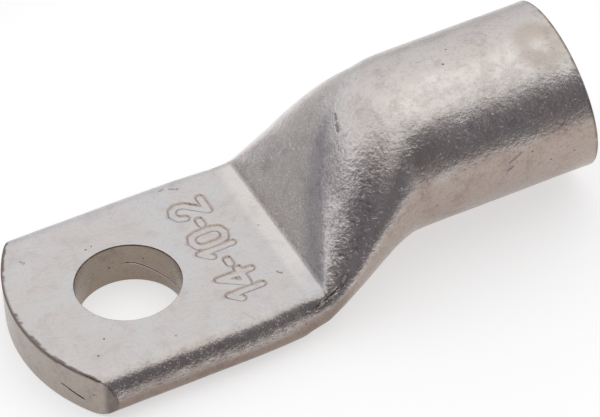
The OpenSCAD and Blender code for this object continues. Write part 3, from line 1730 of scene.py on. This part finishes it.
@dataclass(frozen=True)
class TinPlate:
    """Satin tin plate over copper, tumbled and scuffed, with painted shade and painted highlights in
    several zones.
    """

    bright: Colour = (0.655, 0.625, 0.61)
    warm: Colour = (0.65, 0.60, 0.57)
    speckled: Colour = (0.72, 0.69, 0.68)
    speckled_share: Band = (0.46, 0.3)
    blotched: Colour = (0.86, 0.855, 0.87)
    blotched_less: float = 0.5
    faced: Tint = Tint((0.965, 1.0, 1.035), 1.0)
    # Painted highlight: lightens the bend where it faces up.
    bend_painted_highlight: Tint = Tint((0.80, 0.755, 0.735), 0.8)
    # Painted shade: darkens the palm's -Y flank.
    smeared: Tint = Tint((0.70, 0.675, 0.66), 1.0)
    # Painted shade: faces that turn down are darkened and warmed, in place of the dim reflection of
    # the shaded floor.
    underside_painted_shade: Tint = Tint((0.66, 0.58, 0.53), 1.0)
    # Painted reflection: darkens and blues the band beside the facet.
    worn: Tint = Tint((0.75, 0.765, 0.82), 1.0)
    # Painted shade and painted highlight on the crinkled metal, from one noise.
    pebble_painted_shade: Tint = Tint((0.58, 0.58, 0.62), 0.6)
    pebble_painted_highlight: Tint = Tint((0.85, 0.825, 0.80), 0.38)
    # Lightening from wear before the fold, and a painted highlight on the barrel's scuffed plate.
    rubbed: Tint = Tint((0.85, 0.825, 0.80), 0.7)
    rubbed_share: float = 0.62
    flaked_share: Band = (0.25, 0.85)
    # Painted shade on the walls of the struck numerals.
    stamp_wall_painted_shade: Tint = Tint((0.42, 0.34, 0.29), 0.75)
    cut: Tint = Tint((0.305, 0.247, 0.2), 0.85)
    stain: Tint = Tint((0.50, 0.44, 0.39), 0.6)
    # Painted shade along edges and creases, and dirt in pits and nicks.
    grime: Colour = (0.16, 0.13, 0.12)
    grime_and_shade_share: float = 0.92
    pit_share: float = 0.7

    clouds: Grain = Grain(0.28, 3.0, 0.55, (0.35, 0.65))
    specks: Grain = Grain(3.4, 3.0, 0.6, (0.5, 0.68))
    blotches: Grain = Grain(0.55, 5.0, 0.68, (0.5, 0.66))
    pebbles: Grain = Grain(3.0, 4.0, 0.7, (0.5, 0.64))
    pebbles_high: Band = (0.46, 0.36)
    flakes: Grain = Grain(0.9, 6.0, 0.75, (0.42, 0.58))

    nicks: tuple[Nick, ...] = (
        Nick((26.2, -4.9, 12.9), (27.7, -4.85, 12.95), 0.07, 0.25),
        Nick((26.6, -5.15, 12.65), (27.3, -5.1, 12.7), 0.06, 0.3),
        Nick((20.6, -4.9, 12.1), (22.7, -5.4, 12.1), 0.07, 0.3),
        Nick((20.3, -5.2, 11.6), (21.9, -5.6, 11.7), 0.06, 0.25),
        Nick((20.1, -4.2, 12.3), (20.2, -5.0, 11.5), 0.09, 0.6),
        Nick((18.85, 0.98, 12.0), (18.74, 0.66, 11.9), 0.17, 0.85),
        Nick((18.57, 0.16, 11.7), (18.44, -0.28, 11.54), 0.2, 0.9),
        Nick((18.7, -0.35, 11.65), (18.6, -0.45, 11.6), 0.12, 0.8),
        Nick((7.4, 8.0, 3.8), (7.9, 7.7, 3.8), 0.12, 0.45),
        Nick((6.5, 8.2, 3.8), (6.9, 8.3, 3.8), 0.1, 0.5),
        Nick((-6.4, 6.2, 3.8), (-6.2, 5.9, 3.8), 0.1, 0.4),
        Nick((10.55, -4.6, 3.8), (10.85, -4.95, 3.8), 0.06, 0.7),
        # These three darken the pinch at the fold's end: painted shade in the crease, with dirt.
        Nick((14.5, -8.7, 4.7), (13.5, -8.87, 3.85), 0.13, 0.85),
        Nick((13.5, -8.87, 3.85), (12.6, -8.95, 3.45), 0.18, 0.95),
        Nick((12.6, -8.95, 3.45), (11.9, -9.2, 3.1), 0.13, 0.9),
        Nick((-3.6, -9.86, 2.25), (-3.1, -9.86, 2.3), 0.1, 0.7),
        Nick((-2.8, -9.86, 2.5), (-2.6, -9.86, 2.5), 0.08, 0.7),
        Nick((29.9, -6.95, 8.4), (30.9, -6.9, 8.9), 0.08, 0.5),
        Nick((29.6, -6.98, 7.6), (30.1, -6.98, 7.9), 0.1, 0.5),
    )
    nick_shake: Grain = Grain(5.0, 2.0)
    nick_shake_by: float = 0.3
    nick_edge: Band = (1.3, 0.4)
    pit_scale: float = 1.1
    pit_size: Band = (0.12, 0.05)
    pit_patches: Grain = Grain(0.35, 1.0, 0.5, (0.55, 0.68))

    roughness: float = 0.17
    rough_specks: float = 0.12
    rough_clouds: float = 0.08
    rough_hammered: float = -0.05

    grain: Grain = Grain(4.5, 3.0, 0.6)
    grain_height: float = 0.024
    swell: Grain = Grain(0.8, 2.0)
    swell_height: float = 0.035
    lumps: Grain = Grain(1.7, 3.0, 0.6)
    lumps_height: float = 0.024
    wrinkles: Grain = Grain(1.0, 3.0, 0.55)
    wrinkle_scale: Place = (3.0, 3.6, 3.6)
    wrinkle_turn: float = math.radians(23.7)
    wrinkle_height: float = 0.03
    flaked_wrinkles: float = 0.5
    scratch: Grain = Grain(1.0, 1.0, 0.5, (0.70, 0.76))
    scratch_scale: Place = (0.25, 6.0, 6.0)
    scratch_sets: tuple[Band, ...] = ((0.35, 0.0), (-0.8, 31.0), (1.25, 57.0))
    scratch_depth: float = 0.008
    pit_depth: float = 0.1

    def material(self) -> bpy.types.Material:
        """Make the material.

        Returns:
            The finished material.
        """
        made, tree = new_material(SLOT)
        place = tree.place_mm()
        zones = {zone: tree.attribute(zone) for zone in Zone}
        clouds, specks = self.clouds.drawn(place), self.specks.drawn(place)
        pit = self.pits(place).maximum(self.nick_mask(place))
        colour = tree.mix(clouds.between(*self.clouds.limits), self.bright, self.warm)
        most, less = self.speckled_share
        dotted = specks.between(*self.specks.limits) * (most - less * zones[Zone.FACE])
        colour = tree.multiply(dotted, colour, self.speckled)
        colour = self.zone_tinted_colour(place, zones, colour)
        # Painted shade on the walls of the struck numerals.
        colour = self.stamp_wall_painted_shade.mixed(zones[Zone.STRUCK], colour)
        colour = self.cut.mixed(zones[Zone.CUT], colour)
        colour = self.stain.mixed(zones[Zone.STAIN], colour)
        patches = self.blotches.mask(place) * (1.0 - self.blotched_less * zones[Zone.FACE])
        colour = tree.multiply(patches, colour, self.blotched)
        # Painted shade along edges and creases, and dirt in pits and nicks.
        dirt = (self.grime_and_shade_share * zones[Zone.GRIME]).maximum(self.pit_share * pit)
        colour = tree.mix(dirt, colour, self.grime)
        rough = self.roughness + self.rough_specks * specks + self.rough_clouds * clouds
        rough = rough + self.rough_hammered * zones[Zone.HAMMERED]
        sockets = {
            "Base Color": colour,
            "Metallic": 1.0,
            "Roughness": rough,
            "Normal": self.relief(place, zones, pit),
        }
        shader = tree.node("ShaderNodeBsdfPrincipled", None, sockets)[0]
        tree.surface("ShaderNodeOutputMaterial", shader)
        return made

    def zone_tinted_colour(self, place: Link, zones: dict[Zone, Link], colour: Link) -> Link:
        """Tint the plate by its zones: wear, and painted shade and painted highlights.

        Args:
            place: The place, in millimetres.
            zones: The zone masks.
            colour: The colour of the fresh plate.

        Returns:
            The tinted colour.
        """
        hammered = zones[Zone.HAMMERED]
        colour = self.faced.multiplied(zones[Zone.FACE], colour)
        # Painted highlight: lightens the bend where it faces up.
        colour = self.bend_painted_highlight.mixed(zones[Zone.BEND], colour)
        # Painted shade: darkens the palm's -Y flank.
        colour = self.smeared.multiplied(zones[Zone.SMEARED], colour)
        # Painted shade on faces that turn down.
        colour = self.underside_painted_shade.multiplied(zones[Zone.UNDER], colour)
        # Painted reflection: darkens and blues the band beside the facet.
        colour = self.worn.multiplied(zones[Zone.BAND], colour)
        # Painted shade on the low pebbles and painted highlight on the high ones.
        pebbles = self.pebbles.drawn(place)
        low = hammered * pebbles.between(*self.pebbles.limits)
        colour = self.pebble_painted_shade.multiplied(low, colour)
        high = hammered * pebbles.between(*self.pebbles_high)
        colour = self.pebble_painted_highlight.mixed(high, colour)
        # Scuffed plate with a painted highlight on the barrel, and wear before the fold.
        least, more = self.flaked_share
        flaked = zones[Zone.FLAKED] * (least + more * self.flakes.mask(place))
        rubbed = (self.rubbed_share * zones[Zone.RUBBED]).maximum(flaked)
        return self.rubbed.mixed(rubbed, colour)

    def nick_mask(self, place: Link) -> Link:
        """Mask of the single nicks, with ragged edges.

        Args:
            place: The place, in millimetres.

        Returns:
            The mask.
        """
        shaken = self.nick_shake_by * (self.nick_shake.drawn(place) - 0.5)
        outer, inner = self.nick_edge
        found = []
        for nick in self.nicks:
            gap = place.tree.gap_to_line(place, nick.start, nick.end) + shaken
            found.append(nick.dark * gap.between(outer * nick.width, inner * nick.width))
        return functools.reduce(Link.maximum, found)

    def pits(self, place: Link) -> Link:
        """Mask of small dark pits, scattered in patches.

        Args:
            place: The place, in millimetres.

        Returns:
            The mask.
        """
        sockets = {"Vector": place, "Scale": self.pit_scale}
        cells = place.tree.node("ShaderNodeTexVoronoi", None, sockets)[0]
        return cells.between(*self.pit_size) * self.pit_patches.mask(place)

    def relief(self, place: Link, zones: dict[Zone, Link], pit: Link) -> Link:
        """Bump of the grain, the crinkled bend, the scratches and the pits.

        Args:
            place: The place, in millimetres.
            zones: The zone masks.
            pit: Mask of the pits and nicks.

        Returns:
            The bumped normal.
        """
        tree = place.tree
        level = tree.mapping(place, Rotation=(0.0, 0.0, self.wrinkle_turn))
        wrinkled = self.wrinkles.drawn(tree.mapping(level, Scale=self.wrinkle_scale))
        crinkled = zones[Zone.HAMMERED].maximum(self.flaked_wrinkles * zones[Zone.FLAKED])
        height = self.grain_height * self.grain.drawn(place)
        height = height + self.swell_height * self.swell.drawn(place)
        height = height + self.lumps_height * self.lumps.drawn(place)
        height = height + self.wrinkle_height * crinkled * wrinkled
        height = height - self.scratch_depth * self.scratches(place)
        height = height - self.pit_depth * pit
        sockets = {"Strength": 1.0, "Distance": MM, "Height": height}
        return tree.node("ShaderNodeBump", None, sockets)[0]

    def scratches(self, place: Link) -> Link:
        """Mask of fine straight scratches in three directions.

        Args:
            place: The place, in millimetres.

        Returns:
            The mask.
        """
        found = []
        for turn, move in self.scratch_sets:
            moved = place.tree.mapping(place, Location=(move, move, move), Rotation=(0.0, 0.0, turn))
            drawn_out = place.tree.mapping(moved, Scale=self.scratch_scale)
            found.append(self.scratch.mask(drawn_out))
        return functools.reduce(Link.maximum, found)


@dataclass(frozen=True)
class PaperSweep:
    """Matt white paper that the lug lies on, painted grey away from the lug as a painted falloff of
    light.

    It glows a little where it is seen or mirrored, so that it shows white there
    without lighting the metal.
    """

    colour: Colour = (0.66, 0.67, 0.68)
    grain: Grain = Grain(0.4, 3.0)
    grain_dim: float = 0.985
    # Painted falloff of light: the paper turns grey and its glow fades away from the lug.
    painted_falloff_colour: Colour = (0.52, 0.51, 0.5)
    middle: Place = (14.0, -1.7, 0.0)
    painted_pool_reach: Band = (33.0, 85.0)
    lift: float = 0.55
    painted_falloff_dim: float = 0.7

    def material(self) -> bpy.types.Material:
        """Make the material.

        Returns:
            The finished material.
        """
        made, tree = new_material("paper_sweep")
        rays = tree.node("ShaderNodeLightPath")
        seen = functools.reduce(Link.maximum, (rays[kind.value] for kind in Seen))
        place = tree.place_mm()
        dimmed = tuple(self.grain_dim * c for c in self.colour)
        shade = tree.mix(self.grain.drawn(place), self.colour, dimmed)
        # Painted falloff of light with distance from the lug.
        far = tree.vector("DISTANCE", [place, self.middle])[1].between(*self.painted_pool_reach)
        shade = tree.mix(far, shade, self.painted_falloff_colour)
        paper = tree.node("ShaderNodeBsdfDiffuse", None, {"Color": shade})[0]
        strength = self.lift * seen * (1.0 - self.painted_falloff_dim * far)
        sockets = {"Color": (1.0, 1.0, 1.0, 1.0), "Strength": strength}
        glow = tree.node("ShaderNodeEmission", None, sockets)[0]
        both = tree.node("ShaderNodeAddShader", None, [paper, glow])[0]
        tree.surface("ShaderNodeOutputMaterial", both)
        return made


# Studio


@dataclass(frozen=True)
class DarkFlag:
    """A dim curtain on the camera's side, which the bends of the metal reflect.

    Args:
        name: Its name.
        azimuth: Directions of its two ends, in degrees from +X towards +Y.
        tops: Heights of its upper edge from one end to the other, in degrees.
        colour: The dim light that it gives back.
        foot: Height of its lower edge, in degrees.
        radius: Its distance in metres.
        only_mirrored: Whether it shows in reflections alone and casts no shadow.
            Such a curtain is a painted reflection of the shaded floor near the lug.
        columns: Points along it.
        rows: Points up it.
    """

    name: str
    azimuth: Band = (160.0, 308.0)
    tops: tuple[float, ...] = (36.0, 54.0, 57.5, 55.0, 51.0, 48.5, 48.5)
    colour: Colour = (0.142, 0.131, 0.142)
    foot: float = 0.5
    radius: float = 0.9
    only_mirrored: bool = False
    columns: int = 49
    rows: int = 13

    def points(self, centre: Vector) -> list[Place]:
        """Lay out the curtain, row by row from its foot.

        Args:
            centre: The point that it bends round.

        Returns:
            Its points, in metres.
        """
        turns = np.linspace(*self.azimuth, self.columns)
        tops = np.interp(turns, np.linspace(*self.azimuth, len(self.tops)), self.tops)
        points = []
        for share in np.linspace(0.0, 1.0, self.rows):
            heights = np.radians(self.foot + (tops - self.foot) * share)
            for azimuth, elevation in zip(np.radians(turns), heights):
                level = math.cos(elevation)
                way = (level * math.cos(azimuth), level * math.sin(azimuth), math.sin(elevation))
                points.append(tuple(centre + Vector(way) * self.radius))
        return points

    def build(self, centre: Vector) -> None:
        """Hang the curtain.

        Args:
            centre: The point that it bends round.
        """
        across = self.columns
        faces = [
            (j * across + i, j * across + i + 1, (j + 1) * across + i + 1, (j + 1) * across + i)
            for j in range(self.rows - 1)
            for i in range(across - 1)
        ]
        mesh = bpy.data.meshes.new(self.name)
        mesh.from_pydata(self.points(centre), [], faces)
        made, tree = new_material(self.name)
        sockets = {"Color": (*self.colour, 1.0), "Strength": 1.0}
        glow = tree.node("ShaderNodeEmission", None, sockets)[0]
        tree.surface("ShaderNodeOutputMaterial", glow)
        mesh.materials.append(made)
        curtain = bpy.data.objects.new(self.name, mesh)
        curtain.visible_camera = False
        if self.only_mirrored:
            curtain.visible_diffuse = False
            curtain.visible_shadow = False
        bpy.context.scene.collection.objects.link(curtain)


@dataclass(frozen=True)
class Studio:
    """Floor, light and camera. The camera's distance and aim are millimetres."""

    aim: Place = (14.169, -1.698, 6.426)
    azimuth: float = 23.694
    elevation: float = 42.8
    roll: float = -3.939
    distance: float = 413.7
    lens: float = 320.07
    sensor: float = 36.0
    clip: Band = (0.01, 20.0)
    floor_half: float = 3.0
    floor_z: float = -0.02
    bright_side: Place = (-0.3, 0.85, 0.43)
    bright_over: Band = (-0.4, 0.9)
    bright_level: Band = (0.86, 0.14)
    sky_low: Colour = (0.815, 0.815, 0.85)
    sky_high: Colour = (1.0, 0.975, 0.95)
    sky_over: Band = (0.2, 0.95)
    flags: tuple[DarkFlag, ...] = (
        DarkFlag("front_flag"),
        DarkFlag("side_flag", (96.0, 160.0), (5.0, 9.0, 13.0, 16.0), (0.27, 0.26, 0.26)),
        # These two show only in reflections: painted reflection of the shaded floor near the lug.
        DarkFlag("low_flag", (170.0, 345.0), (4.0, 4.0), (0.17, 0.155, 0.15), -7.0, 0.055, True),
        DarkFlag("back_flag", (98.0, 160.0), (1.0, 2.0), (0.36, 0.35, 0.35), -7.0, 0.055, True),
    )

    def build(self) -> None:
        """Set up everything round the lug."""
        self.make_floor()
        self.make_world()
        for flag in self.flags:
            flag.build(Vector(self.aim) * MM)
        self.make_camera()
        bpy.context.scene.view_settings.view_transform = "Standard"

    def make_floor(self) -> None:
        """Lay a wide flat floor just under the palm."""
        half = self.floor_half
        corners = [(-half, -half, 0.0), (half, -half, 0.0), (half, half, 0.0), (-half, half, 0.0)]
        mesh = bpy.data.meshes.new("floor")
        mesh.from_pydata(corners, [], [(0, 1, 2, 3)])
        mesh.materials.append(PaperSweep().material())
        floor = bpy.data.objects.new("floor", mesh)
        floor.location.z = self.floor_z * MM
        bpy.context.scene.collection.objects.link(floor)

    def make_world(self) -> None:
        """Make a pale surround, a little brighter behind the lug than in front of it."""
        world = bpy.data.worlds.new("surround")
        bpy.context.scene.world = world
        world.use_nodes = True
        tree = ShaderTree(world.node_tree)
        way = tree.node("ShaderNodeTexCoord")[0]
        height = tree.node("ShaderNodeSeparateXYZ", None, [way])[2]
        colour = tree.mix(height.between(*self.sky_over), self.sky_low, self.sky_high)
        behind = tree.vector("DOT_PRODUCT", [way, self.bright_side])[1]
        least, more = self.bright_level
        level = least + more * behind.between(*self.bright_over)
        light = tree.node("ShaderNodeBackground", None, {"Color": colour, "Strength": level})[0]
        tree.surface("ShaderNodeOutputWorld", light)

    def view_axes(self) -> tuple[Vector, Vector, Vector]:
        """Directions of the camera's right, up and forward.

        Returns:
            Three unit vectors.
        """
        azimuth, elevation = math.radians(self.azimuth), math.radians(self.elevation)
        level = Vector((math.sin(azimuth), math.cos(azimuth), 0.0))
        forward = level * math.cos(elevation) - Vector((0.0, 0.0, math.sin(elevation)))
        right = Vector((math.cos(azimuth), -math.sin(azimuth), 0.0))
        up = right.cross(forward)
        cos_roll, sin_roll = math.cos(math.radians(self.roll)), math.sin(math.radians(self.roll))
        return cos_roll * right + sin_roll * up, cos_roll * up - sin_roll * right, forward

    def make_camera(self) -> None:
        """Place the camera."""
        right, up, forward = self.view_axes()
        data = bpy.data.cameras.new("camera")
        data.lens = self.lens
        data.sensor_fit = "HORIZONTAL"
        data.sensor_width = self.sensor
        data.clip_start, data.clip_end = self.clip
        camera = bpy.data.objects.new("camera", data)
        place = Vector(self.aim) * MM - forward * self.distance * MM
        turn = Matrix((right, up, -forward)).transposed()
        camera.matrix_world = Matrix.Translation(place) @ turn.to_4x4()
        bpy.context.scene.collection.objects.link(camera)
        bpy.context.scene.camera = camera


def shade(target: bpy.types.Object, sharp_from: float) -> None:
    """Shade a mesh smooth, apart from its sharp edges.

    Args:
        target: The object.
        sharp_from: Angle between faces, in degrees, from which an edge is sharp.
    """
    mesh = target.data
    mesh.polygons.foreach_set("use_smooth", [True] * len(mesh.polygons))
    mesh.set_sharp_from_angle(angle=math.radians(sharp_from))


def main() -> None:
    """Dress the lug and set up its studio."""
    logging.basicConfig(level=logging.INFO, format="%(name)s: %(message)s")
    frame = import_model()
    sizes = LugSizes.from_frame(frame)
    skin = LugSkin(sizes, LugForm(sizes), Marks(sizes)).build()
    shade(skin, SHARP_FROM)
    skin.data.materials.clear()
    skin.data.materials.append(TinPlate().material())
    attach(skin, BODY)
    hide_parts(NODE)
    LOG.info("skin: %d faces", len(skin.data.polygons))
    Studio().build()
    LOG.info("studio: %d curtains", len(Studio.flags))


if __name__ == "__main__":
    main()
